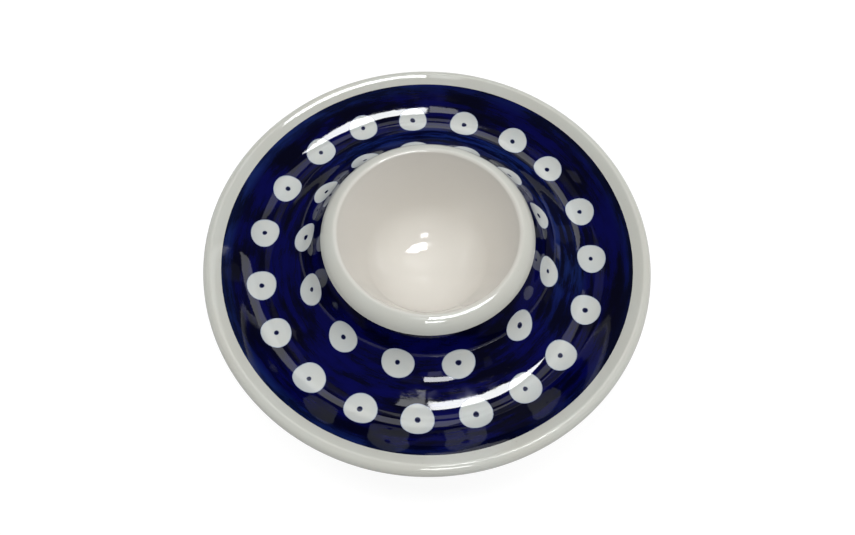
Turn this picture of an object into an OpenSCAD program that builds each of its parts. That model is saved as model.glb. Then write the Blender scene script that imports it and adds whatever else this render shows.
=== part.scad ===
// Egg cup with its own saucer, thrown stoneware under a clear glaze.
// The table is the plane z = 0 and the z axis runs up through the middle of the bowl.
// Every round piece is a turned outline: x is the radius and y is the height.

/* [Saucer] */
// Diameter over the rounded rim
plate_d = 125; // [118:1:132]
// Thickness of the clay
plate_t = 4.6; // [4:0.1:5.2]
// Width of the white band from the outside of the rim to the painted ground, in plan
band_w = 5; // [4.5:0.1:6]
// Slope of the rim on both sides of the painted edge, in degrees
rim_slope = 38; // [34:0.5:38]
// Radius of the crest of the rim
crest_r = 0.8; // [0.6:0.1:1.2]
// Slope of the face that falls outwards from a crest, in degrees
face_slope = 20; // [15:1:25]
// Radius of the outer edge of the rim
edge_r = 2.5; // [2.2:0.1:2.7]
// Width of the strip between the painted edge and the shoulder, in plan
strip_w = 1.8; // [1.2:0.1:2.6]
// Slope of the saucer between the shoulder and the well, in degrees
side_slope = 38.5; // [38.5:0.5:42]
// Place of the well, where the two slopes meet, as a share of the way from lip to shoulder
well_share = 0.719; // [0.69:0.001:0.74]
// Slope of the floor that rises from the well to the cup, in degrees
floor_slope = 21.6; // [19:0.2:24]
// Place where the floor turns up into the flaring wall, as a share of the same way
flare_share = 0.202; // [0.17:0.001:0.23]
// Slope of the flaring wall, in degrees
wall_slope = 61; // [57:0.5:65]
// Radius of the soft shoulder below the rim
shoulder_round = 15; // [8:0.5:18]
// Radius of the well
well_round = 7; // [5:0.5:8]
// Radius of the curve from the floor to the wall
flare_round = 15; // [10:0.5:16]

/* [Cup] */
// Height of the whole egg cup
cup_h = 34.4; // [33:0.1:37]
// Diameter of the mouth, which takes the blunt end of an egg
mouth_d = 48.5; // [47:0.1:50]
// Radius of the crest of the lip
lip_r = 1; // [0.8:0.1:1.4]
// Radius of the lip's rounded back, which falls from the crest to the flaring wall
back_round = 6; // [5:0.1:7]
// Clearance between the bowl and the table
bowl_lift = 1.7; // [1:0.1:3]
// Lean of the bowl's side from upright, in degrees
bowl_lean = 22; // [15:1:26]
// Thickness of the bowl
bowl_t = 3.8; // [3.4:0.1:4]

/* [Foot] */
// Diameter of the circle that the egg cup stands on
foot_d = 72; // [68:0.5:76]
// Width of the standing face
foot_w = 4.5; // [4:0.1:5.5]
// Lean of the foot's sides from upright, in degrees
foot_lean = 12; // [8:1:16]
// Radius of the wiped edges of the foot
foot_round = 1; // [0.6:0.1:1.4]
// Distance from the top of the lip down to the free face of the slip in the joint
lute_drop = 12; // [11:0.1:13]

/* [Decoration] */
// Thickness of the coloured glazes in the top of the saucer
glaze_t = 0.25; // [0.2:0.05:0.4]
// Diameter of a white dot, as a share of the distance between the two rings of dots
dot_share = 0.634; // [0.57:0.001:0.67]
// Diameter of the blue eye in a dot
eye_d = 1.5; // [1.2:0.1:2]
// Number of dots in the outer ring
outer_count = 19; // [16:1:20]
// Place of the outer ring of dots, as a share of the way from lip to shoulder
outer_ring_share = 0.71; // [0.68:0.001:0.73]
// Turn of the first dot of the outer ring, in degrees
outer_start = 1.9; // [-9:0.1:9]
// Number of dots in the inner ring
inner_count = 13; // [10:1:14]
// Place of the inner ring of dots, as a share of the way from lip to shoulder
inner_ring_share = 0.212; // [0.2:0.001:0.23]
// Turn of the first dot of the inner ring, in degrees
inner_start = 13; // [0:1:27]

/* [Hidden] */
$fn = 96;

// Finest turn between two points of a rounded outline, in degrees
arc_step = 7;

// The dots are stamped by hand. Each share moves one dot of its ring: a drift share is a
// share of the even spacing, and a shift share is a share of the dot's radius, outwards.
outer_drift_shares = [-0.08, -0.08, 0.02, -0.06, -0.02, 0.02, 0.02, 0, 0.02, 0.04,
                      0.1, 0.06, 0.08, 0.1, 0.06, 0.04, 0, -0.12, -0.12];
outer_shift_shares = [-0.1, 0, -0.05, 0.1, 0, 0.05, 0.25, 0.15, 0, 0.05,
                      0, 0, 0.1, 0.05, -0.05, -0.05, -0.2, -0.2, -0.15];
inner_drift_shares = [0.2, 0.18, 0.12, 0.08, 0.02, -0.05, -0.1, -0.1, -0.12, -0.14,
                      -0.18, 0, 0.12];
inner_shift_shares = [-0.25, -0.1, 0, 0, 0.1, 0.15, 0.1, 0, 0.1, 0.05, 0.1, -0.1, -0.05];

plate_r = plate_d / 2;
mouth_r = mouth_d / 2;
eye_r = eye_d / 2;
// Common overrun of the cuts
overrun = glaze_t;

// Vectors in the plane of an outline
function unit(v) = v / norm(v);
function left_of(v) = [-v.y, v.x];
function along(angle) = [cos(angle), sin(angle)];
function drop(x, y, to_x, slope) = y - (to_x - x) * tan(slope);
function rise(x, y, to_x, slope) = y + (to_x - x) * tan(slope);

// Points of an arc about a centre
function arc(centre, r, from, to) =
    let (steps = max(1, ceil(abs(to - from) / arc_step)))
    [for (i = [0 : steps]) centre + r * along(from + (to - from) * i / steps)];

// One corner b between a and c, rounded with radius r
function corner(a, b, c, r) =
    let (to_a = unit(a - b),
         to_c = unit(c - b),
         half = acos(to_a * to_c) / 2,
         centre = b + unit(to_a + to_c) * r / sin(half),
         side = sign(cross(to_a, to_c)),
         start = atan2(to_a.y, to_a.x) - side * 90)
    r <= 0 ? [b] : arc(centre, r, start, start - side * (180 - 2 * half));

// The room that a rounding at place i has on its way to place j: half of the leg between two
// corners, and nearly all of a leg that ends the path
function leg_room(path, i, j) =
    norm(path[j][0] - path[i][0]) * ((j == 0 || j == len(path) - 1) ? 0.9 : 0.5);

// Half of the turn at place i
function half_turn(path, i) =
    let (before = unit(path[i][0] - path[i - 1][0]), after = unit(path[i + 1][0] - path[i][0]))
    abs(atan2(cross(before, after), before * after)) / 2;

// A path is a list of [place, radius]. This keeps its roundings within their legs.
function fitted(path) =
    [for (i = [0 : len(path) - 1])
        (i == 0 || i == len(path) - 1)
            ? path[i]
            : [path[i][0], min(path[i][1], min(leg_room(path, i, i - 1), leg_room(path, i, i + 1))
                                           / tan(half_turn(path, i)))]];

// The points of a path with its corners rounded
function rounded(path) =
    [for (i = [0 : len(path) - 1])
        each (i == 0 || i == len(path) - 1)
            ? [path[i][0]]
            : corner(path[i - 1][0], path[i][0], path[i + 1][0], path[i][1])];

// The same path set lower by a distance t, with its roundings kept parallel
function lowered(path, t) =
    [for (i = [0 : len(path) - 1])
        let (place = path[i][0],
             before = i > 0 ? unit(place - path[i - 1][0]) : unit(path[1][0] - place),
             after = i < len(path) - 1 ? unit(path[i + 1][0] - place) : before,
             up = (left_of(before) + left_of(after)) / (1 + before * after))
        [place - t * up, max(0, path[i][1] + t * sign(cross(before, after)))]];

function reversed(points) = [for (i = [len(points) - 1 : -1 : 0]) points[i]];

// The crest of the cup's lip, its rounded back, and the place where the flaring wall starts
lip_centre = [mouth_r + lip_r, cup_h - lip_r];
back_centre = lip_centre - (back_round - lip_r) * along(90 - face_slope);
wall_out = along(90 - wall_slope);
wall_top = back_centre + back_round * wall_out;

// The top of the saucer, from the lip outwards: wall, floor, well, shoulder and rim
paint_r = plate_r - band_w;
shoulder_r = paint_r - strip_w;
function way_out(share) = wall_top.x + share * (shoulder_r - wall_top.x);
flare_r = way_out(flare_share);
flare_y = drop(wall_top.x, wall_top.y, flare_r, wall_slope);
well_r = way_out(well_share);
well_y = drop(flare_r, flare_y, well_r, floor_slope);
shoulder_y = rise(well_r, well_y, shoulder_r, side_slope);
paint_y = rise(shoulder_r, shoulder_y, paint_r, rim_slope);

// The rim: a crest, a face that falls outwards, and a round edge that runs into the underside
rim_out = along(rim_slope);
face_up = along(90 - face_slope);
edge_centre_r = plate_r - edge_r;
edge_centre = [edge_centre_r, rise(paint_r, paint_y, edge_centre_r, rim_slope)
                              - (plate_t - edge_r) / cos(rim_slope)];
rim_up = left_of(rim_out);
crest_start = [paint_r, paint_y] - crest_r * rim_up;
crest_centre = crest_start + rim_out * ((edge_centre - crest_start) * face_up + edge_r - crest_r)
                                     / (rim_out * face_up);
// The place on the top line that lies over the end of the round edge
plate_end = edge_centre + (plate_t - edge_r) * rim_up;

paint_path = fitted([[wall_top, 0], [[flare_r, flare_y], flare_round],
                     [[well_r, well_y], well_round], [[shoulder_r, shoulder_y], shoulder_round],
                     [[paint_r, paint_y], 0]]);
plate_path = concat([for (i = [0 : len(paint_path) - 2]) paint_path[i]], [[plate_end, 0]]);
paint_points = rounded(paint_path);
clay_points = rounded(lowered(paint_path, glaze_t));
under_points = rounded(lowered(plate_path, plate_t));

// The bowl: a leaning side that runs into a round bottom
bowl_bottom = bowl_lift + bowl_t;
side_in = [-cos(bowl_lean), sin(bowl_lean)];
bottom_round = (lip_centre.x * cos(bowl_lean) - lip_r
                - (lip_centre.y - bowl_bottom) * sin(bowl_lean)) / (1 - sin(bowl_lean));
bottom_centre = [0, bowl_bottom + bottom_round];
// Length of the shoulder under the lip that sits on the saucer's collar
seat_w = ((wall_top - lip_centre) * side_in + bowl_t - lip_r) / (wall_out * side_in);
seat_end = wall_top - seat_w * wall_out;
bowl_outside = arc(bottom_centre, bottom_round + bowl_t, -90, -bowl_lean);

// Everything that the cup takes up, out to its outer wall
cup_region = concat(bowl_outside, [seat_end, wall_top + overrun * wall_out,
                    [wall_top.x, cup_h + overrun], [0, cup_h + overrun]]);

// The dots, and half the length of the round posts that cut them
outer_ring_r = way_out(outer_ring_share);
inner_ring_r = way_out(inner_ring_share);
dot_r = dot_share * (outer_ring_r - inner_ring_r) / 2;
post_reach = dot_r;

foot_r = foot_d / 2;
foot_top = paint_y;
foot_spread = foot_top * tan(foot_lean);

// Height and slope of the top of the saucer at a radius
function top_y(r) = lookup(r, paint_points);
function top_slope(r) = atan((top_y(r + eye_r) - top_y(r - eye_r)) / eye_d);

// Round posts square to the saucer's top, one at each dot of a ring
module posts(post_r, ring_r, count, start, drift_shares, shift_shares) {
    spacing = 360 / count;
    for (i = [0 : count - 1]) {
        drift = drift_shares[i % len(drift_shares)] * spacing;
        r = ring_r + shift_shares[i % len(shift_shares)] * dot_r;
        rotate(start + i * spacing + drift)
            translate([r, 0, top_y(r)])
                rotate([0, -top_slope(r), 0])
                    cylinder(h = 2 * post_reach, r = post_r, center = true);
    }
}

module outer_posts(post_r) {
    posts(post_r, outer_ring_r, outer_count, outer_start,
          outer_drift_shares, outer_shift_shares);
}

module inner_posts(post_r) {
    posts(post_r, inner_ring_r, inner_count, inner_start,
          inner_drift_shares, inner_shift_shares);
}

// The coloured glaze before the dots are cut out of it
module glaze_shell() {
    rotate_extrude() polygon(concat(paint_points, reversed(clay_points)));
}

// The space under the saucer, down to the table
module under_region() {
    polygon(concat(under_points, [[edge_centre_r, 0], [0, 0], [0, under_points[0].y]]));
}

// Saucer with its rounded rim, and the raised collar that holds the cup
module saucer() {
    rim = concat(arc(crest_centre, crest_r, 90 + rim_slope, 90 - face_slope),
                 arc(edge_centre, edge_r, 90 - face_slope, rim_slope - 90));
    color("ivory")
        rotate_extrude() difference() {
            polygon(concat(clay_points, [[paint_r, paint_y]], rim, reversed(under_points)));
            polygon(cup_region);
        }
}

// Round-bottomed bowl with a rounded lip, seated in the collar
module cup() {
    inside = arc(bottom_centre, bottom_round, -90, -bowl_lean);
    lip = concat(arc(lip_centre, lip_r, 180 - bowl_lean, 90 - face_slope),
                 arc(back_centre, back_round, 90 - face_slope, 90 - wall_slope));
    color("ivory")
        rotate_extrude()
            polygon(concat(inside, lip, [seat_end], reversed(bowl_outside)));
}

// Ring that the egg cup stands on, with its lower edges wiped round
module foot_ring() {
    outline = [[[foot_r - foot_w / 2 + foot_spread, foot_top], 0],
               [[foot_r - foot_w / 2, 0], foot_round],
               [[foot_r + foot_w / 2, 0], foot_round],
               [[foot_r + foot_w / 2 + foot_spread, foot_top], 0]];
    color("tan")
        rotate_extrude() intersection() {
            polygon(rounded(outline));
            under_region();
        }
}

// Slip that fills the joint between the bowl and the saucer from below
module luting_ring() {
    lute_h = cup_h - lute_drop;
    color("wheat")
        rotate_extrude() difference() {
            intersection() {
                translate([mouth_r, lute_h]) square([flare_r - mouth_r, lip_centre.y - lute_h]);
                under_region();
            }
            polygon(cup_region);
        }
}

// Cobalt ground with a round window for each dot
module blue_ground() {
    color("midnightblue") difference() {
        glaze_shell();
        outer_posts(dot_r);
        inner_posts(dot_r);
    }
}

// White dots, each a ring round its eye
module outer_dots() {
    color("whitesmoke") difference() {
        intersection() {
            glaze_shell();
            outer_posts(dot_r);
        }
        outer_posts(eye_r);
    }
}

module inner_dots() {
    color("whitesmoke") difference() {
        intersection() {
            glaze_shell();
            inner_posts(dot_r);
        }
        inner_posts(eye_r);
    }
}

// Blue eyes in the middle of the dots
module outer_eyes() {
    color("navy") intersection() {
        glaze_shell();
        outer_posts(eye_r);
    }
}

module inner_eyes() {
    color("navy") intersection() {
        glaze_shell();
        inner_posts(eye_r);
    }
}

saucer();
cup();
foot_ring();
luting_ring();
blue_ground();
outer_dots();
outer_eyes();
inner_dots();
inner_eyes();
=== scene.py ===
import math

import bpy
import numpy as np
from mathutils import Matrix, Vector


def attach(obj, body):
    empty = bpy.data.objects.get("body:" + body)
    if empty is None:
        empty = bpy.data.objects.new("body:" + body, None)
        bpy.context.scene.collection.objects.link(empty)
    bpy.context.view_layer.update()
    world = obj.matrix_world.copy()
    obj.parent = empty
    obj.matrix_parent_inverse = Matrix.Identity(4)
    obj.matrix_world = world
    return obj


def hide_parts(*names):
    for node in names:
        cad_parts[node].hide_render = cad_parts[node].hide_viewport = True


# Egg cup with its own saucer: the looks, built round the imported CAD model
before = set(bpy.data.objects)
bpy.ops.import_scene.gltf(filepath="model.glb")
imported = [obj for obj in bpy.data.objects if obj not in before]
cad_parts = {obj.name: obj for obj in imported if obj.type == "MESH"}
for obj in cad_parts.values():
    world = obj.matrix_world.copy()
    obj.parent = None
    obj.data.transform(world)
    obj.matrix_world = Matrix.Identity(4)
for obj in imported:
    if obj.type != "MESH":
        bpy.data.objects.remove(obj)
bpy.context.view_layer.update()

# Sizes in millimetres and angles in degrees, as in the CAD model. The shares of well and flare
# are of the way from the lip to the shoulder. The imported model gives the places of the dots.
MM = 0.001
PLATE_D = 125.0
PLATE_T = 4.6
BAND_W = 5.0
RIM_SLOPE = 38.0
CREST_R = 0.8
FACE_SLOPE = 20.0
EDGE_R = 2.5
STRIP_W = 1.8
SIDE_SLOPE = 38.5
WELL_SHARE = 0.719
FLOOR_SLOPE = 21.6
FLARE_SHARE = 0.202
WALL_SLOPE = 61.0
SHOULDER_ROUND = 15.0
WELL_ROUND = 7.0
FLARE_ROUND = 15.0
CUP_H = 34.4
MOUTH_D = 48.5
LIP_R = 1.0
BACK_ROUND = 6.0
BOWL_LIFT = 1.7
BOWL_LEAN = 22.0
BOWL_T = 3.8
FOOT_D = 72.0
FOOT_W = 4.5
FOOT_LEAN = 12.0
FOOT_ROUND = 1.0
LUTE_DROP = 12.0
GLAZE_T = 0.25
DOT_R = 4.36
EYE_R = 0.74

# What the hand left: how far the bends of the top are eased, and its slow waves by length from
# the lip, width and change of slope
SOFTEN = 1.0
SOFTEN_REACH = 4
WAVES = [(15.0, 4.5, -1.0), (30.1, 1.3, -2.5)]
# How far down the wall behind the lip the paint begins
PAINT_START = 0.8
# How far inside its leaning sides the foot's wiped roundings stand, as shares of their radius,
# and the height at which they end
FOOT_IN_SHARE = 1.1
FOOT_OUT_SHARE = 0.8
FOOT_SIDE_H = 1.6
# How far the slip's free face is hollow, and how far hidden faces lie in their neighbours
LUTE_HOLLOW = 1.2
LUTE_GAP = 0.2
HIDDEN = 0.05

# Segments of a turned piece, and columns of the ground: 19 cells of 26, or 13 cells of 38
TURNS = 384
COLUMNS = 494
# The longest step along an outline, the spacing of the dense places behind it, and the number
# of heights at which a side of the foot is tried against the underside
STEP = 0.4
SAMPLE = 0.02
LEVELS = 400
# The longest steps round arcs, and the bend above which an edge stays sharp
BOWL_ARC = 1.5
WALL_ARC = 2.0
TIGHT_ARC = 5.0
FOOT_ARC = 12.0
SHARP_ANGLE = 40.0
# Rows of points on straight stretches, counted with both ends
STRAIGHT_ROWS = 10
SEAT_ROWS = 8
FOOT_ROWS = 12
LUTE_FACE_ROWS = 9
BETWEEN_ROWS = 9
CELL_ROWS = 5
RING_ROWS = 9
EYE_ROWS = 5
# A dot's cell: the largest radius with its uneven edge, as a share of the largest plain one,
# the margin outside that, and the number of faces along each side wall
UNEVEN_SHARE = 1.03
CELL_MARGIN = 1.5
CELL_SIDE = 24
# Digits to which points of a sheet are the same point, and corners of the CAD in metres
LENGTH_DIGITS = 5
TURN_DIGITS = 7
CORNER_DIGITS = 6
FULL_TURN = 2 * math.pi

# Stamped shapes: radius, how unevenly they were stamped, and how far they sit off the middle
DISC = {"size": DOT_R, "size_spread": 0.012, "waves": (2, 3, 4), "wave_spread": 0.0035, "shift": 0.0}
EYE = {"size": EYE_R, "size_spread": 0.07, "waves": (2, 3), "wave_spread": 0.04, "shift": 0.1}
# How much wider a disc is round the ring than across it, as a share of its radius
DISC_SPREAD_SHARE = 0.025
OUTER_SEED = 11
INNER_SEED = 5


def deg(angle):
    return math.radians(angle)


def direction(angle):
    return np.array([math.cos(deg(angle)), math.sin(deg(angle))])


def left_of(v):
    return np.array([-v[1], v[0]])


# The outline of the saucer's top, worked out from the sizes as in the CAD model
lip_centre = np.array([MOUTH_D / 2 + LIP_R, CUP_H - LIP_R])
back_centre = lip_centre - (BACK_ROUND - LIP_R) * direction(90 - FACE_SLOPE)
wall_out = direction(90 - WALL_SLOPE)
wall_top = back_centre + BACK_ROUND * wall_out
plate_r = PLATE_D / 2
paint_r = plate_r - BAND_W
shoulder_r = paint_r - STRIP_W


def way_out(share):
    """Radius at a share of the way from the lip to the shoulder."""
    return wall_top[0] + share * (shoulder_r - wall_top[0])


flare_r = way_out(FLARE_SHARE)
flare_y = wall_top[1] - (flare_r - wall_top[0]) * math.tan(deg(WALL_SLOPE))
well_r = way_out(WELL_SHARE)
well_y = flare_y - (well_r - flare_r) * math.tan(deg(FLOOR_SLOPE))
shoulder_y = well_y + (shoulder_r - well_r) * math.tan(deg(SIDE_SLOPE))
paint_y = shoulder_y + STRIP_W * math.tan(deg(RIM_SLOPE))
rim_out = direction(RIM_SLOPE)
rim_up = left_of(rim_out)
face_up = direction(90 - FACE_SLOPE)
edge_centre_r = plate_r - EDGE_R
edge_centre = np.array([edge_centre_r,
                        paint_y + (edge_centre_r - paint_r) * math.tan(deg(RIM_SLOPE))
                        - (PLATE_T - EDGE_R) / math.cos(deg(RIM_SLOPE))])
crest_start = np.array([paint_r, paint_y]) - CREST_R * rim_up
crest_reach = ((edge_centre - crest_start) @ face_up + EDGE_R - CREST_R) / (rim_out @ face_up)
crest_centre = crest_start + rim_out * crest_reach
plate_end = edge_centre + (PLATE_T - EDGE_R) * rim_up


def softened_outline(corners):
    """Dense places and slopes along a path of (place, radius) corners, its bends eased."""
    places = [np.array(c[0], float) for c in corners]
    legs = [b - a for a, b in zip(places, places[1:])]
    angles = [math.atan2(v[1], v[0]) for v in legs]
    cut = [0.0]
    for before, after, corner in zip(angles, angles[1:], corners[1:-1]):
        cut.append(corner[1] * math.tan(abs(after - before) / 2))
    cut.append(0.0)
    knots, slopes, length = [0.0], [angles[0]], 0.0
    for i, leg in enumerate(legs):
        length += np.linalg.norm(leg) - cut[i] - cut[i + 1]
        knots.append(length)
        slopes.append(angles[i])
        if i + 1 < len(legs):
            length += corners[i + 1][1] * abs(angles[i + 1] - angles[i])
            knots.append(length)
            slopes.append(angles[i + 1])
    s = np.arange(0.0, length, SAMPLE)
    slope = np.interp(s, knots, slopes)
    reach = int(SOFTEN_REACH * SOFTEN / SAMPLE)
    bell = np.exp(-0.5 * (np.arange(-reach, reach + 1) * SAMPLE / SOFTEN) ** 2)
    slope = np.convolve(np.pad(slope, reach, mode="edge"), bell / bell.sum(), mode="valid")
    for place, width, change in WAVES:
        slope += deg(change) * np.exp(-((s - place) / width) ** 2)
    steps = np.column_stack([np.cos(slope), np.sin(slope)]) * SAMPLE
    path = places[0] + np.vstack([[0.0, 0.0], np.cumsum(steps[:-1], axis=0)])
    path += np.outer(s / s[-1], places[-1] - path[-1])
    return s, path, slope


top_s, top_path, top_slope = softened_outline([
    (wall_top, 0), ((flare_r, flare_y), FLARE_ROUND), ((well_r, well_y), WELL_ROUND),
    ((shoulder_r, shoulder_y), SHOULDER_ROUND), (plate_end, 0)])
paint_s = float(np.interp(paint_r, top_path[:, 0], top_s))
crest_s = float(np.interp((crest_centre + CREST_R * rim_up)[0], top_path[:, 0], top_s))


def top_at(s, sink=0.0):
    """Places (radius, height) and upward normals of the saucer's top at lengths s from the lip."""
    slope = np.interp(s, top_s, top_slope)
    normal = np.column_stack([-np.sin(slope), np.cos(slope)])
    place = np.column_stack([np.interp(s, top_s, top_path[:, k]) for k in (0, 1)])
    return place - sink * normal, normal


def steps_between(a, b, longest=STEP):
    return np.linspace(a, b, max(2, int(math.ceil(abs(b - a) / longest)) + 1))


def arc(centre, r, start, end, longest):
    angles = steps_between(start, end, longest)
    return np.array([centre + r * direction(a) for a in angles])


def new_object(name, verts, faces, normals=None):
    """A smooth mesh object from places in millimetres, with its own split normals if given."""
    mesh = bpy.data.meshes.new(name)
    mesh.from_pydata((np.asarray(verts) * MM).tolist(), [], faces)
    mesh.shade_smooth()
    if normals is None:
        mesh.set_sharp_from_angle(angle=deg(SHARP_ANGLE))
    else:
        mesh.normals_split_custom_set(normals)
    obj = bpy.data.objects.new(name, mesh)
    bpy.context.scene.collection.objects.link(obj)
    return obj


def lathe(name, outline):
    """Turns an outline of (radius, height) points round Z. One that starts and ends on the
    axis is closed there, and any other outline is a loop."""
    outline = np.array(outline)
    on_axis = outline[0][0] < SAMPLE and outline[-1][0] < SAMPLE
    body = outline[1:-1] if on_axis else outline
    turn = np.arange(TURNS) * FULL_TURN / TURNS
    verts = np.stack([np.outer(body[:, 0], np.cos(turn)), np.outer(body[:, 0], np.sin(turn)),
                      np.outer(body[:, 1], np.ones(TURNS))], axis=-1).reshape(-1, 3)
    rows = len(body)
    faces = []
    for i in range(rows - 1 if on_axis else rows):
        a, b = i * TURNS, (i + 1) % rows * TURNS
        for j in range(TURNS):
            k = (j + 1) % TURNS
            faces.append((a + j, a + k, b + k, b + j))
    if on_axis:
        first, last = len(verts), len(verts) + 1
        verts = np.vstack([verts, [0, 0, outline[0][1]], [0, 0, outline[-1][1]]])
        end = (rows - 1) * TURNS
        for j in range(TURNS):
            k = (j + 1) % TURNS
            faces.append((first, k, j))
            faces.append((last, end + j, end + k))
    x, y = outline.T
    if np.sum(x * np.roll(y, -1) - np.roll(x, -1) * y) > 0:
        faces = [f[::-1] for f in faces]
    return new_object(name, verts, faces)


# The bowl, with the same leaning side and round bottom as the CAD model
bowl_bottom = BOWL_LIFT + BOWL_T
lean_out, lean_up = direction(BOWL_LEAN)
bottom_round = ((lip_centre[0] * lean_out - LIP_R - (lip_centre[1] - bowl_bottom) * lean_up)
                / (1 - lean_up))
bottom_centre = np.array([0.0, bowl_bottom + bottom_round])
side_in = np.array([-lean_out, lean_up])
seat_w = float(((wall_top - lip_centre) @ side_in + BOWL_T - LIP_R) / (wall_out @ side_in))
seat_end = wall_top - seat_w * wall_out
bowl_outside = arc(bottom_centre, bottom_round + BOWL_T, -90, -BOWL_LEAN, WALL_ARC)


def outside_at(height):
    """Radius of the bowl's outer wall at a height."""
    low = bowl_outside[-1]
    if height > low[1]:
        share = (height - low[1]) / (seat_end[1] - low[1])
        return float(low[0] + share * (seat_end[0] - low[0]))
    return math.sqrt((bottom_round + BOWL_T) ** 2 - (height - bottom_centre[1]) ** 2)


under_path = top_at(top_s, PLATE_T)[0]
under_wall = under_path[:int(np.argmin(under_path[:, 1]))][::-1]


def underside_at(radius):
    """Height of the saucer's underside at a radius."""
    return float(np.interp(radius, under_path[:, 0], under_path[:, 1]))


def under_wall_at(height):
    """Radius of the underside of the valley's inner wall at a height."""
    return float(np.interp(height, under_wall[:, 1], under_wall[:, 0]))


# Where the underside of the wall runs into the bowl
joint_h = next(h for h in np.arange(seat_end[1], CUP_H - LUTE_DROP, -SAMPLE)
               if under_wall_at(h) > outside_at(h))
joint_r = outside_at(joint_h)


def make_cup():
    """The bowl with its rolled lip, and the seat on which the saucer's collar ends."""
    inside = arc(bottom_centre, bottom_round, -90, -BOWL_LEAN, BOWL_ARC)
    lip = arc(lip_centre, LIP_R, 180 - BOWL_LEAN, 90 - FACE_SLOPE, TIGHT_ARC)
    back = arc(back_centre, BACK_ROUND, 90 - FACE_SLOPE, 90 - WALL_SLOPE, WALL_ARC)
    side = np.linspace(inside[-1], lip[0], STRAIGHT_ROWS)[1:-1]
    outer_side = np.linspace(seat_end, bowl_outside[-1], SEAT_ROWS)
    outline = np.vstack([inside, side, lip, back[1:], outer_side, bowl_outside[-2::-1]])
    return lathe("cup_bowl", outline)


def make_saucer():
    """The plate, with its top sunk where the paint lies in it."""
    bare = steps_between(0, PAINT_START)
    painted = steps_between(PAINT_START, paint_s)
    band = steps_between(paint_s, crest_s)
    crest = arc(crest_centre, CREST_R, 90 + RIM_SLOPE, 90 - FACE_SLOPE, TIGHT_ARC)
    edge = arc(edge_centre, EDGE_R, 90 - FACE_SLOPE, RIM_SLOPE - 90, TIGHT_ARC)
    under = top_at(steps_between(top_s[-1], 0), PLATE_T)[0]
    under = np.array([p for p in under if p[0] > joint_r and p[0] > outside_at(p[1]) + HIDDEN])
    heights = np.linspace(joint_h, seat_end[1], STRAIGHT_ROWS)
    joint = np.array([[outside_at(h), h] for h in heights])
    outline = np.vstack([top_at(bare)[0], top_at(painted, GLAZE_T)[0], top_at(band)[0], crest[1:],
                         edge[1:-1], under, joint])
    return lathe("saucer_clay", outline)


def make_foot_ring():
    """The foot, with its standing edges wiped round, up to the saucer's underside."""
    slope = math.tan(deg(FOOT_LEAN))
    inner, outer = FOOT_D / 2 - FOOT_W / 2, FOOT_D / 2 + FOOT_W / 2
    heights = np.linspace(paint_y, 0, LEVELS)

    def meeting(r):
        return next(h for h in heights if h < underside_at(r + h * slope))

    inner_centre = np.array([inner + FOOT_ROUND * FOOT_IN_SHARE, FOOT_ROUND])
    outer_centre = np.array([outer - FOOT_ROUND * FOOT_OUT_SHARE, FOOT_ROUND])
    inner_foot = arc(inner_centre, FOOT_ROUND, 180 - FOOT_LEAN, 270, FOOT_ARC)
    outer_foot = arc(outer_centre, FOOT_ROUND, 270, 360 - FOOT_LEAN, FOOT_ARC)
    up = np.linspace(FOOT_SIDE_H, meeting(outer), FOOT_ROWS)
    down = np.linspace(meeting(inner), FOOT_SIDE_H, FOOT_ROWS)
    inner_side = np.column_stack([inner + down * slope, down])
    outer_side = np.column_stack([outer + up * slope, up])
    across = np.linspace(outer_side[-1][0], inner_side[0][0], FOOT_ROWS)[1:-1]
    roof = np.array([[r, underside_at(r) + HIDDEN] for r in across])
    return lathe("foot", np.vstack([inner_side, inner_foot, outer_foot, outer_side, roof]))


def make_luting_ring():
    """The wiped fillet of slip in the joint, a little hollow on its free face."""
    heights = np.linspace(CUP_H - LUTE_DROP, joint_h - LUTE_GAP, FOOT_ROWS)
    inner = np.array([[outside_at(h) - HIDDEN, h] for h in heights])
    outer = np.array([[under_wall_at(h) + HIDDEN, h] for h in heights[::-1]])
    face = np.array([outer[-1] * (1 - t) + inner[0] * t + [0, LUTE_HOLLOW * math.sin(math.pi * t)]
                     for t in np.linspace(0, 1, LUTE_FACE_ROWS)[1:-1]])
    return lathe("slip_fillet", np.vstack([inner, outer, face]))


def islands(obj):
    """Middles of the separate solids of a CAD node, in millimetres."""
    mesh = obj.data
    parent = list(range(len(mesh.vertices)))

    def find(i):
        while parent[i] != i:
            parent[i] = parent[parent[i]]
            i = parent[i]
        return i

    for edge in mesh.edges:
        parent[find(edge.vertices[0])] = find(edge.vertices[1])
    seen = {}
    for v in mesh.vertices:
        key = tuple(round(c, CORNER_DIGITS) for c in v.co)
        if key in seen:
            parent[find(v.index)] = find(seen[key])
        seen[key] = v.index
    groups = {}
    for v in mesh.vertices:
        groups.setdefault(find(v.index), []).append(np.array(v.co) / MM)
    return [(np.min(g, axis=0) + np.max(g, axis=0)) / 2 for g in groups.values()]


class Blot:
    """A nearly round stamped shape: its size, its uneven edge and its place in the dot."""

    def __init__(self, rng, size, size_spread, waves, wave_spread, shift):
        self.size = size * (1 + size_spread * rng.standard_normal())
        self.waves = [(m, wave_spread * rng.standard_normal(), rng.uniform(0, FULL_TURN))
                      for m in waves]
        self.middle = shift * rng.standard_normal(2)

    def radius(self, angles):
        return self.size * (1 + sum(a * np.cos(m * angles + p) for m, a, p in self.waves))

    def edge(self, angles):
        r = self.radius(angles)
        return self.middle + np.column_stack([r * np.cos(angles), r * np.sin(angles)])

    def distance(self, flat):
        """Distance outwards from the edge to flat places."""
        away = flat - self.middle
        return np.linalg.norm(away, axis=1) - self.radius(np.arctan2(away[:, 1], away[:, 0]))


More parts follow.
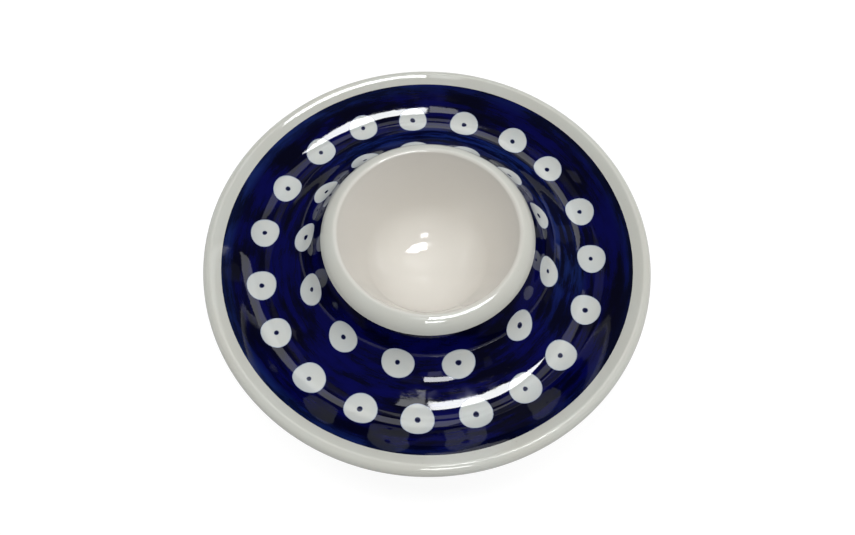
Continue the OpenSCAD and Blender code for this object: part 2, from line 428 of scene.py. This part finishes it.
class Dot:
    """One stamped dot: its middle along the outline and round the ring, its disc and its eye."""

    def __init__(self, place, rng):
        self.s = float(np.interp(math.hypot(place[0], place[1]), top_path[:, 0], top_s))
        self.turn = math.atan2(place[1], place[0]) % FULL_TURN
        # How fast a circle round the axis bends away from a straight line through the dot
        middle, normal = top_at(np.array([self.s]))
        self.bend = normal[0][1] / (2 * middle[0][0])
        self.disc = Blot(rng, **DISC)
        self.disc.waves.append((2, -DISC_SPREAD_SHARE, 0.0))
        self.eye = Blot(rng, **EYE)

    def to_surface(self, flat):
        """Flat places round the dot's middle, as lengths along the outline and turns."""
        s = self.s + flat[:, 0] + self.bend * flat[:, 1] ** 2
        return np.column_stack([s, self.turn + flat[:, 1] / top_at(s)[0][:, 0]])

    def to_flat(self, params):
        """The other way: lengths and turns, as flat places round the dot's middle."""
        across = (params[:, 1] - self.turn + math.pi) % FULL_TURN - math.pi
        across = across * top_at(params[:, 0])[0][:, 0]
        return np.column_stack([params[:, 0] - self.s - self.bend * across ** 2, across])


def ring_of_dots(node, seed):
    """Dots at the places of a CAD node's spots, in order round the ring."""
    rng = np.random.default_rng(seed)
    places = sorted(islands(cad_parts[node]), key=lambda p: math.atan2(p[1], p[0]) % FULL_TURN)
    return [Dot(p, rng) for p in places]


class Sheet:
    """A welded net of faces on the saucer's top, whose points are (length, turn)."""

    def __init__(self):
        self.points, self.faces, self.index = [], [], {}

    def point(self, s, turn):
        turn_key = round(turn % FULL_TURN, TURN_DIGITS) % round(FULL_TURN, TURN_DIGITS)
        key = (round(s, LENGTH_DIGITS), turn_key)
        if key not in self.index:
            self.index[key] = len(self.points)
            self.points.append((s, turn))
        return self.index[key]

    def grid(self, rows):
        """Faces between closed rows of points. Every row has as many points as the next."""
        ids = [[self.point(s, t) for s, t in row] for row in rows]
        for low, high in zip(ids, ids[1:]):
            for j in range(len(low)):
                k = (j + 1) % len(low)
                face = [low[j], low[k], high[k], high[j]]
                face = [v for i, v in enumerate(face) if v not in face[:i]]
                if len(face) > 2:
                    self.faces.append(tuple(face))

    def solid(self, name):
        """The sheet as a thin closed solid whose top has the saucer's own normals, and the
        (length, turn) of each of its points."""
        params = np.array(self.points)
        place, normal = top_at(params[:, 0])
        cosine, sine = np.cos(params[:, 1]), np.sin(params[:, 1])
        top = np.column_stack([place[:, 0] * cosine, place[:, 0] * sine, place[:, 1]])
        up = np.column_stack([normal[:, 0] * cosine, normal[:, 0] * sine, normal[:, 1]])
        count = len(params)
        tops = []
        for f in self.faces:
            a, b, c, d = top[f[0]], top[f[1]], top[f[2]], top[f[-1]]
            facing = np.cross(c - a, d - b) if len(f) > 3 else np.cross(b - a, c - a)
            tops.append(f if facing @ up[f[0]] > 0 else f[::-1])
        used = {(f[i], f[(i + 1) % len(f)]) for f in tops for i in range(len(f))}
        sides = [(b, a, a + count, b + count) for a, b in sorted(used) if (b, a) not in used]
        faces = tops + [tuple(v + count for v in f[::-1]) for f in tops] + sides
        verts = np.vstack([top, top - GLAZE_T * up])
        normals = [up[v] for f in tops for v in f]
        normals += [-up[v] for f in tops for v in f[::-1]]
        normals += [(0.0, 0.0, 0.0)] * (4 * len(sides))
        return new_object(name, verts, faces, normals), np.vstack([params, params])


def cell_edges(ring):
    """Turns of the columns of a ring of cells, with the cell walls half way between dots."""
    turns = np.array([d.turn for d in ring])
    before = (turns + np.roll(turns, 1) - FULL_TURN * (np.arange(len(ring)) == 0)) / 2
    walls = np.append(before, before[0] + FULL_TURN)
    return [np.linspace(a, b, COLUMNS // len(ring) + 1) for a, b in zip(walls, walls[1:])]


def cell_outline(columns, low, high):
    """The four walls of a cell as one closed run of (length, turn) points."""
    side = np.linspace(low, high, CELL_SIDE + 1)
    run = [(low, t) for t in columns[:-1]]
    run += [(s, columns[-1]) for s in side[:-1]]
    run += [(high, t) for t in columns[:0:-1]]
    run += [(s, columns[0]) for s in side[:0:-1]]
    return np.array(run)


class Ring:
    """A ring of dots, each in the middle of its cell of the painted ground."""

    def __init__(self, dots):
        reach = max(d.disc.size for d in dots) * UNEVEN_SHARE + CELL_MARGIN
        self.dots = dots
        self.low = min(d.s for d in dots) - reach
        self.high = max(d.s for d in dots) + reach
        self.columns = cell_edges(dots)
        self.walls = [cell_outline(c, self.low, self.high) for c in self.columns]
        self.turns = np.concatenate([c[:-1] for c in self.columns])

    def cells(self):
        """Each dot with its cell's walls and the directions from the dot to them."""
        for dot, run in zip(self.dots, self.walls):
            flat = dot.to_flat(run)
            yield dot, run, np.arctan2(flat[:, 1], flat[:, 0])


outer = Ring(ring_of_dots("outer_eyes", OUTER_SEED))
inner = Ring(ring_of_dots("inner_eyes", INNER_SEED))


def shares(rows):
    return np.linspace(0, 1, rows)


def make_ground():
    """The painted ground as one sheet, with a window at every dot."""
    sheet = Sheet()
    gap = (inner.turns - outer.turns[0] + math.pi) % FULL_TURN - math.pi
    inner_turns = np.roll(inner.turns, -int(np.argmin(abs(gap))))
    inner_turns = outer.turns + (inner_turns - outer.turns + math.pi) % FULL_TURN - math.pi
    sheet.grid([[(s, t) for t in inner_turns] for s in steps_between(PAINT_START, inner.low)])
    sheet.grid([[(inner.high + (outer.low - inner.high) * k, a + (b - a) * k)
                 for a, b in zip(inner_turns, outer.turns)] for k in shares(BETWEEN_ROWS)])
    sheet.grid([[(s, t) for t in outer.turns] for s in steps_between(outer.high, paint_s)])
    for ring in (inner, outer):
        for dot, run, angles in ring.cells():
            window = dot.to_surface(dot.disc.edge(angles))
            sheet.grid([window * (1 - t) + run * t for t in shares(CELL_ROWS)])
    return sheet.solid("cobalt_paint")


def make_dots(name, ring):
    """White dots that fill the windows, each round the hole of its eye."""
    sheet = Sheet()
    for dot, _, angles in ring.cells():
        disc, eye = dot.disc.edge(angles), dot.eye.edge(angles)
        sheet.grid([dot.to_surface(eye * (1 - t) + disc * t) for t in shares(RING_ROWS)])
    return sheet.solid(name)


def make_eyes(name, ring):
    """The spots that fill the holes in the dots."""
    sheet = Sheet()
    for dot, _, angles in ring.cells():
        middle, eye = dot.eye.middle, dot.eye.edge(angles)
        sheet.grid([dot.to_surface(middle + (eye - middle) * t) for t in shares(EYE_ROWS)])
    return sheet.solid(name)


def add_attribute(obj, name, values):
    """A value at each point of a mesh, for its material."""
    layer = obj.data.attributes.new(name, "FLOAT", "POINT")
    layer.data.foreach_set("value", np.asarray(values, np.float32))


def nearest_edge(params, part):
    """Distance outwards from the edge of the nearest disc or eye, along the surface."""
    dots = outer.dots + inner.dots
    return np.min([getattr(d, part).distance(d.to_flat(params)) for d in dots], axis=0)


# The colour sockets of a mix node: its two inputs and its output
MIX_A, MIX_B, MIXED = 6, 7, 2


class Nodes:
    """Short calls for building a node tree."""

    def __init__(self, tree):
        self.tree = tree

    def add(self, kind, **inputs):
        """A node, with properties given as set_name and inputs as their name or i and number."""
        node = self.tree.nodes.new(kind)
        for name, value in inputs.items():
            if name.startswith("set_"):
                setattr(node, name[4:], value)
            elif name[0] == "i" and name[1:].isdigit():
                self.feed(node.inputs[int(name[1:])], value)
            else:
                self.feed(node.inputs[name.replace("_", " ")], value)
        return node

    def feed(self, socket, value):
        if isinstance(value, bpy.types.NodeSocket):
            self.tree.links.new(value, socket)
        elif isinstance(value, bpy.types.Node):
            self.tree.links.new(value.outputs[0], socket)
        else:
            socket.default_value = value

    def math(self, operation, a, b=0.0):
        return self.add("ShaderNodeMath", set_operation=operation, i0=a, i1=b).outputs[0]

    def plus(self, a, b):
        return self.math("ADD", a, b)

    def times(self, a, b):
        return self.math("MULTIPLY", a, b)

    def ramp(self, value, low, high, a=0.0, b=1.0):
        """A smooth change from a to b while the value goes from low to high."""
        node = self.add("ShaderNodeMapRange", set_interpolation_type="SMOOTHSTEP",
                        i0=value, i1=low, i2=high, i3=a, i4=b)
        return node.outputs[0]

    def mix(self, factor, a, b):
        node = self.tree.nodes.new("ShaderNodeMix")
        node.data_type = "RGBA"
        self.feed(node.inputs[0], factor)
        self.feed(node.inputs[MIX_A], a)
        self.feed(node.inputs[MIX_B], b)
        return node.outputs[MIXED]

    def noise(self, vector, scale, detail, roughness=0.5):
        return self.add("ShaderNodeTexNoise", Vector=vector, Scale=scale, Detail=detail,
                        Roughness=roughness).outputs[0]

    def attribute(self, name):
        return self.add("ShaderNodeAttribute", set_attribute_name=name).outputs["Fac"]

    def across_and_radius(self, place):
        """The x and y of a place, and its distance from the turned axis."""
        x, y, _ = self.add("ShaderNodeSeparateXYZ", Vector=place).outputs
        return x, y, self.math("SQRT", self.plus(self.times(x, x), self.times(y, y)))

    def round_the_ring(self, place, round_scale):
        """Coordinates for marks that run round the axis. A mark is longer than it is wide by
        its radius over round_scale, both in metres."""
        x, y, radius = self.across_and_radius(place)
        turn = self.math("ARCTAN2", y, x)
        return self.add("ShaderNodeCombineXYZ", Z=radius,
                        X=self.times(self.math("COSINE", turn), round_scale),
                        Y=self.times(self.math("SINE", turn), round_scale)).outputs[0]

    def finish(self, shader, kind="ShaderNodeOutputMaterial"):
        self.tree.links.new(shader.outputs[0], self.add(kind).inputs[0])


def rgba(r, g, b):
    return (r, g, b, 1.0)


def node_tree(holder):
    """The emptied node tree of a material or the world."""
    holder.use_nodes = True
    holder.node_tree.nodes.clear()
    return Nodes(holder.node_tree)


# Relief of the glaze: noise by marks in a metre and detail, its height in metres, and how far
# turning marks are drawn out round the axis
SWELL = (120.0, 2.0)
SWELL_H = 0.000022
PEEL = (1100.0, 2.0)
PEEL_H = 0.0000025
TURNING = (700.0, 1.0)
TURNING_ROUND = 0.012
TURNING_H = 0.000002
# Roughness of the glaze from its glossiest to its dullest, and how strongly it mirrors
DULLING = (260.0, 3.0)
DULLING_RANGE = (0.35, 0.75)
GLOSS = (0.03, 0.065)
GLAZE_IOR = 1.45

WHITE = rgba(0.590, 0.596, 0.553)
WHITE_WARM = rgba(0.585, 0.580, 0.530)
# Painted light: a brighter, warmer white inside the bowl, for the light caught and bounced there
BOWL_PAINTED_LIGHT = rgba(0.715, 0.684, 0.635)
WHITE_COOL = rgba(0.54, 0.56, 0.55)
SPECK = rgba(0.30, 0.26, 0.20)
NAVY = rgba(0.0008, 0.0009, 0.009)
COBALT = rgba(0.0017, 0.0021, 0.062)
# Painted light: the paler blue where the ground faces the light
COBALT_LIT = rgba(0.008, 0.021, 0.112)
DOT_WHITE = rgba(0.565, 0.575, 0.55)
DOT_EDGE = rgba(0.30, 0.36, 0.50)
EYE_DARK = rgba(0.004, 0.005, 0.030)
EYE_EDGE = rgba(0.10, 0.12, 0.22)
BARE_CLAY = rgba(0.50, 0.42, 0.32)

# In the values below, a range is where a change begins and where it is complete. Two further
# numbers are the results there, where they aren't 0 and 1.
# Clouds and specks in the white, and the radii in metres between which the painted light inside
# the bowl fades into the plain white
CLOUDS = (45.0, 3.0)
DOT_CLOUDS = (160.0, 2.0)
CLOUD_RANGE = (0.35, 0.7)
SPECKS = (1500.0, 1.0)
SPECK_RANGE = (0.76, 0.80)
SPECK_SHOW = 0.25
BOWL_LIGHT_EDGE = (0.0235, 0.0262)

# Brush marks and slow patches in the cobalt, by marks in a metre, detail and roughness
STROKES = (480.0, 4.0, 0.65)
STROKE_ROUND = 0.006
STROKE_SHARE = 0.6
PATCHES = (62.0, 3.0, 0.55)
PAINT_RANGE = (0.43, 0.61)
# Blue round the dots, by millimetres from their edge and by patches
HALO_REACH = (1.6, 0.2)
HALO_PATCHES = (0.42, 0.6, 0.15, 0.9)
HALO_SHOW = 0.55
# Painted light: paler blue at the outer edge on the left, where the rim's slope faces the light
# from the right, by millimetres from the edge, by x in metres and by mottle
LIT_EDGE_REACH = (4.0, 0.3)
LIT_EDGE_SIDE = (0.01, -0.035, 0.3, 1.0)
LIT_EDGE_MOTTLE = (0.40, 0.58, 0.2, 0.9)
# Painted light: paler blue in the valley on the far right, where it faces the light, by radius in
# metres, by metres in a direction and by strokes
FAR_LIGHT_INNER = (0.034, 0.038)
FAR_LIGHT_OUTER = (0.047, 0.043)
FAR_LIGHT_RIGHT, FAR_LIGHT_AWAY = 0.6, 0.8
FAR_LIGHT_SIDE = (-0.005, 0.025)
FAR_LIGHT_STROKES = (0.44, 0.64, 0.05, 0.7)

# How far the edges of dots, eyes and the foot's glaze waver, and where their colours change
DOT_WAVER = (1100.0, 2.0)
DOT_WAVER_MM = 0.3
DOT_BLEED = (0.16, -0.12, 0.0, 0.85)
EYE_WAVER = (1500.0, 2.0)
EYE_WAVER_MM = 0.15
EYE_BLEED = (-0.02, 0.16)
FOOT_WAVER = (300.0, 3.0)
FOOT_WAVER_M = 0.0012
FOOT_WIPED = (0.0009, 0.0001)


def glaze_material(name, paint):
    """A clear gloss glaze over a colour that paint(nodes, place) returns."""
    material = bpy.data.materials.new(name)
    n = node_tree(material)
    place = n.add("ShaderNodeTexCoord").outputs["Object"]
    colour = paint(n, place)
    swell = n.times(n.noise(place, *SWELL), SWELL_H)
    peel = n.times(n.noise(place, *PEEL), PEEL_H)
    turned = n.times(n.noise(n.round_the_ring(place, TURNING_ROUND), *TURNING), TURNING_H)
    relief = n.plus(n.plus(swell, peel), turned)
    bump = n.add("ShaderNodeBump", Strength=1.0, Distance=1.0, Height=relief)
    gloss = n.ramp(n.noise(place, *DULLING), *DULLING_RANGE, *GLOSS)
    n.finish(n.add("ShaderNodeBsdfPrincipled", Base_Color=colour, Roughness=gloss, IOR=GLAZE_IOR,
                   Normal=bump))
    return material


def paint_white(n, place):
    """Off-white clay under clear glaze, with faint clouds and a few fine specks."""
    base = n.mix(n.ramp(n.noise(place, *CLOUDS), *CLOUD_RANGE), WHITE_WARM, WHITE)
    specks = n.ramp(n.noise(place, *SPECKS), *SPECK_RANGE)
    return n.mix(n.times(specks, SPECK_SHOW), base, SPECK)


def paint_cup_and_bowl_light(n, place):
    """The white of the rest, and inside the bowl a brighter, warmer white that is painted light for
    the light caught there.
    """
    _, _, radius = n.across_and_radius(place)
    # Painted light inside the bowl, fading into the plain white towards the mouth
    return n.mix(n.ramp(radius, *BOWL_LIGHT_EDGE), BOWL_PAINTED_LIGHT, paint_white(n, place))


def paint_ground(n, place):
    """Cobalt laid on with a turning brush: dark where it is thick and brighter round the dots,
    with paler blue painted along the outer edge on the left and in the valley on the far right,
    as painted light where those slopes face the light."""
    strokes = n.noise(n.round_the_ring(place, STROKE_ROUND), *STROKES)
    patches = n.noise(place, *PATCHES)
    mottle = n.plus(n.times(strokes, STROKE_SHARE), n.times(patches, 1 - STROKE_SHARE))
    base = n.mix(n.ramp(mottle, *PAINT_RANGE), NAVY, COBALT)
    halo = n.times(n.ramp(n.attribute("to_dot"), *HALO_REACH), n.ramp(patches, *HALO_PATCHES))
    base = n.mix(n.times(halo, HALO_SHOW), base, COBALT)
    x, y, radius = n.across_and_radius(place)
    # Painted light: paler blue along the outer edge on the left, which faces the light from the
    # right
    edge = n.times(n.ramp(n.attribute("to_rim"), *LIT_EDGE_REACH), n.ramp(x, *LIT_EDGE_SIDE))
    edge = n.times(edge, n.ramp(mottle, *LIT_EDGE_MOTTLE))
    # Painted light: paler blue in the valley on the far right, which faces the light, broken by
    # strokes
    away = n.plus(n.times(x, FAR_LIGHT_RIGHT), n.times(y, FAR_LIGHT_AWAY))
    far_light = n.times(n.ramp(radius, *FAR_LIGHT_INNER), n.ramp(radius, *FAR_LIGHT_OUTER))
    far_light = n.times(far_light, n.ramp(away, *FAR_LIGHT_SIDE))
    far_light = n.times(far_light, n.ramp(strokes, *FAR_LIGHT_STROKES))
    # Both painted lights turn the cobalt paler
    return n.mix(n.math("MAXIMUM", edge, far_light), base, COBALT_LIT)


def paint_dot(n, place):
    """White dot whose edge goes a little blue where the ground runs into it."""
    base = n.mix(n.ramp(n.noise(place, *DOT_CLOUDS), *CLOUD_RANGE), WHITE_COOL, DOT_WHITE)
    waver = n.times(n.noise(place, *DOT_WAVER), DOT_WAVER_MM)
    inwards = n.math("SUBTRACT", n.attribute("to_edge"), waver)
    return n.mix(n.ramp(inwards, *DOT_BLEED), base, DOT_EDGE)


def paint_eye(n, place):
    """Cobalt spot that bleeds a little at its edge."""
    waver = n.times(n.noise(place, *EYE_WAVER), EYE_WAVER_MM)
    inwards = n.math("SUBTRACT", n.attribute("to_edge"), waver)
    return n.mix(n.ramp(inwards, *EYE_BLEED), EYE_EDGE, EYE_DARK)


def paint_foot(n, place):
    """White glaze, wiped off the standing face down to bare clay."""
    height = n.add("ShaderNodeSeparateXYZ", Vector=place).outputs[2]
    ragged = n.math("SUBTRACT", height, n.times(n.noise(place, *FOOT_WAVER), FOOT_WAVER_M))
    return n.mix(n.ramp(ragged, *FOOT_WIPED), paint_white(n, place), BARE_CLAY)


def dress(obj, material, node):
    """Gives a piece its glaze, its body and the CAD node that it replaces."""
    obj.data.materials.append(material)
    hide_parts(node)
    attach(obj, "root")


white = glaze_material("white_glaze", paint_white)
cup_white_and_bowl_light = glaze_material("cup_and_bowl_light_glaze", paint_cup_and_bowl_light)
cobalt = glaze_material("cobalt_ground", paint_ground)
dot_white = glaze_material("dot_white", paint_dot)
eye_blue = glaze_material("eye_blue", paint_eye)
foot_glaze = glaze_material("foot_glaze", paint_foot)

dress(make_cup(), cup_white_and_bowl_light, "cup")
dress(make_saucer(), white, "saucer")
dress(make_foot_ring(), foot_glaze, "foot_ring")
dress(make_luting_ring(), white, "luting_ring")

ground, ground_params = make_ground()
add_attribute(ground, "to_dot", nearest_edge(ground_params, "disc"))
add_attribute(ground, "to_rim", paint_s - ground_params[:, 0])
dress(ground, cobalt, "blue_ground")

for ring_name, ring in (("outer", outer), ("inner", inner)):
    dots, dot_params = make_dots(ring_name + "_dot_faces", ring)
    add_attribute(dots, "to_edge", -nearest_edge(dot_params, "disc"))
    dress(dots, dot_white, ring_name + "_dots")
    eyes, eye_params = make_eyes(ring_name + "_eye_spots", ring)
    add_attribute(eyes, "to_edge", -nearest_edge(eye_params, "eye"))
    dress(eyes, eye_blue, ring_name + "_eyes")


# Camera at the photograph's view, on a frame 855 by 535 pixels: the focal length in pixels,
# the distance in millimetres from the axis at the height of the paint's edge, and angles
FRAME_W = 855.0
SENSOR_W = 36.0
FOCAL_PX = 655.7
VIEW_DISTANCE = 184.75
VIEW_ELEVATION = 63.17
VIEW_TILT = 1.92
VIEW_PAN = 0.03
VIEW_ROLL = -1.58
NEAR_CLIP = 0.01


def make_camera():
    """The camera where the photograph was taken from."""
    data = bpy.data.cameras.new("camera")
    data.sensor_width = SENSOR_W
    data.lens = FOCAL_PX / FRAME_W * SENSOR_W
    data.clip_start = NEAR_CLIP
    camera = bpy.data.objects.new("camera", data)
    bpy.context.scene.collection.objects.link(camera)
    e = deg(VIEW_ELEVATION)
    place = Vector((0, -VIEW_DISTANCE * math.cos(e), paint_y + VIEW_DISTANCE * math.sin(e))) * MM
    facing = Matrix.Rotation(e - math.pi / 2, 3, "X")
    tilt = Matrix.Rotation(deg(VIEW_TILT), 3, "X")
    pan = Matrix.Rotation(deg(VIEW_PAN), 3, "Y")
    roll = Matrix.Rotation(deg(VIEW_ROLL), 3, "Z")
    turned = roll @ tilt @ pan @ facing
    camera.matrix_world = Matrix.Translation(place) @ turned.transposed().to_4x4()
    bpy.context.scene.camera = camera


# Lamp faces by the corners of their outline on the sky, as (steps right, steps away) for each
# step up, seen from the object. The first number is how bright the glaze mirrors the face and
# the second how strongly it lights the object, where 1 is white.
SKY_RADIUS = 3.0
LAMPS = {
    "window": (27.0, 0.45, [(0.03, -0.29), (0.22, -0.285), (0.34, -0.165), (0.80, -0.15),
                            (0.74, -0.26), (0.54, -0.445), (0.30, -0.54), (0.03, -0.585)]),
    "curtain": (4.0, 1.0, [(-0.15, -0.40), (0.01, -0.40), (0.01, -0.61), (-0.16, -0.58)]),
    "lower_window": (17.0, 11.4, [(0.0, -0.80), (0.30, -0.78), (0.30, -1.02), (0.0, -1.08)]),
    "sill": (0.9, 0.9, [(0.04, -1.12), (0.24, -1.12), (0.30, -1.55), (0.08, -1.55)]),
    "dim_curtain": (0.12, 0.6, [(-0.22, -0.72), (-0.03, -0.72), (-0.03, -1.15), (-0.25, -1.10)]),
    "far_wall": (2.1, 0.04, [(-0.06, 0.55), (0.35, 0.72), (0.80, 0.75), (1.55, 0.95),
                             (1.15, 1.75), (0.90, 2.40), (-0.10, 2.40)]),
    "far_left_wall": (0.25, 0.04, [(-0.08, 0.55), (-0.10, 2.30), (-0.75, 1.55), (-1.10, 0.75),
                                   (-0.55, 0.35)]),
    "ceiling": (1.25, 4.65, [(-0.10, 0.12), (0.38, 0.05), (0.85, 0.05), (0.80, 0.40),
                             (0.0, 0.38)]),
    "left_ceiling": (0.18, 7.5, [(-0.10, 0.12), (0.0, 0.38), (-0.60, 0.33), (-0.60, 0.0),
                                 (-0.12, 0.0)]),
    "side_light": (0.4, 3.0, [(-0.86, 0.03), (-0.86, -0.08), (-1.04, -0.08), (-1.04, 0.03)]),
    "right_light": (0.8, 4.5, [(2.60, 1.15), (2.40, 1.42), (4.20, 2.50), (4.60, 2.05)]),
    "right_wall": (0.15, 0.55, [(1.75, 1.15), (1.45, 1.25), (3.60, 3.00), (3.90, 2.60)]),
    "low_right_wall": (0.12, 0.6, [(2.7, 0.0), (2.7, 0.36), (5.5, 0.75), (5.5, 0.0)]),
    "near_right_strip": (0.15, 0.7, [(0.68, -0.80), (0.80, -0.78), (1.45, -1.55), (1.30, -1.62)]),
}
LAMP_COLOUR = rgba(0.985, 1.0, 1.0)


def make_lamp(name, shine, light, corners):
    """A glowing face in the sky that the camera doesn't see."""
    mesh = bpy.data.meshes.new(name)
    places = [Vector((x, y, 1.0)).normalized() * SKY_RADIUS for x, y in corners]
    mesh.from_pydata(places, [], [tuple(range(len(corners)))])
    lamp = bpy.data.objects.new(name, mesh)
    bpy.context.scene.collection.objects.link(lamp)
    lamp.visible_camera = False
    material = bpy.data.materials.new(name)
    n = node_tree(material)
    glossy = n.add("ShaderNodeLightPath").outputs["Is Glossy Ray"]
    lit = n.add("ShaderNodeEmission", Color=LAMP_COLOUR, Strength=light)
    mirrored = n.add("ShaderNodeEmission", Color=LAMP_COLOUR, Strength=shine)
    n.finish(n.add("ShaderNodeMixShader", i0=glossy, i1=lit, i2=mirrored))
    mesh.materials.append(material)


# The floor's half width in metres, and how white it glows for the camera, with the shares of
# that in the glaze and as light on the object
FLOOR_HALF = 4.0
FLOOR_COLOUR = rgba(0.20, 0.20, 0.20)
FLOOR_GLOW = 0.86
MIRRORED_SHARE = 0.6
BOUNCED_SHARE = 0.35
# The dim room that the glaze mirrors, and the room's soft light from each side on top of that
# of the lamps, which falls off by a power of the cosine
ROOM = rgba(0.050, 0.049, 0.048)
PURE_WHITE = rgba(1.0, 1.0, 1.0)
ROOM_LIGHT = {"all": 0.02, "right": 0.66, "far": 0.14, "top": 0.70}
SIDE_POWER = 2.0


def make_floor():
    """A white floor that keeps the object's shadow and is clear from below."""
    mesh = bpy.data.meshes.new("floor")
    h = FLOOR_HALF
    mesh.from_pydata([(-h, -h, 0), (h, -h, 0), (h, h, 0), (-h, h, 0)], [], [(0, 1, 2, 3)])
    floor = bpy.data.objects.new("floor", mesh)
    bpy.context.scene.collection.objects.link(floor)
    material = bpy.data.materials.new("floor")
    n = node_tree(material)
    path = n.add("ShaderNodeLightPath").outputs
    seen = n.math("MAXIMUM", path["Is Camera Ray"], path["Is Transmission Ray"])
    seen = n.math("MAXIMUM", seen, n.times(path["Is Glossy Ray"], MIRRORED_SHARE))
    seen = n.math("MAXIMUM", seen, n.times(path["Is Diffuse Ray"], BOUNCED_SHARE))
    glow = n.add("ShaderNodeEmission", Color=PURE_WHITE, Strength=n.times(seen, FLOOR_GLOW))
    matt = n.add("ShaderNodeBsdfDiffuse", Color=FLOOR_COLOUR)
    top = n.add("ShaderNodeAddShader", i0=matt, i1=glow)
    below = n.add("ShaderNodeNewGeometry").outputs["Backfacing"]
    clear = n.add("ShaderNodeBsdfTransparent")
    n.finish(n.add("ShaderNodeMixShader", i0=below, i1=top, i2=clear))
    mesh.materials.append(material)


def make_world():
    """A dim room round the object, behind a white backdrop."""
    world = bpy.data.worlds.new("world")
    bpy.context.scene.world = world
    n = node_tree(world)
    path = n.add("ShaderNodeLightPath").outputs
    seen = n.math("MAXIMUM", path["Is Camera Ray"], path["Is Transmission Ray"])
    look = n.add("ShaderNodeTexCoord").outputs["Generated"]
    x, y, z = n.add("ShaderNodeSeparateXYZ", Vector=look).outputs
    light = ROOM_LIGHT["all"]
    for side, along in (("right", x), ("far", y), ("top", z)):
        lobe = n.math("POWER", n.math("MAXIMUM", along, 0.0), SIDE_POWER)
        light = n.plus(light, n.times(lobe, ROOM_LIGHT[side]))
    soft = n.add("ShaderNodeBackground", Color=PURE_WHITE, Strength=light)
    mirrored = n.add("ShaderNodeBackground", Color=ROOM, Strength=1.0)
    room = n.add("ShaderNodeMixShader", i0=path["Is Glossy Ray"], i1=soft, i2=mirrored)
    back = n.add("ShaderNodeBackground", Color=PURE_WHITE, Strength=1.0)
    n.finish(n.add("ShaderNodeMixShader", i0=seen, i1=room, i2=back), "ShaderNodeOutputWorld")


make_camera()
make_floor()
make_world()
for lamp_name, lamp_values in LAMPS.items():
    make_lamp(lamp_name, *lamp_values)
bpy.context.scene.view_settings.view_transform = "Standard"
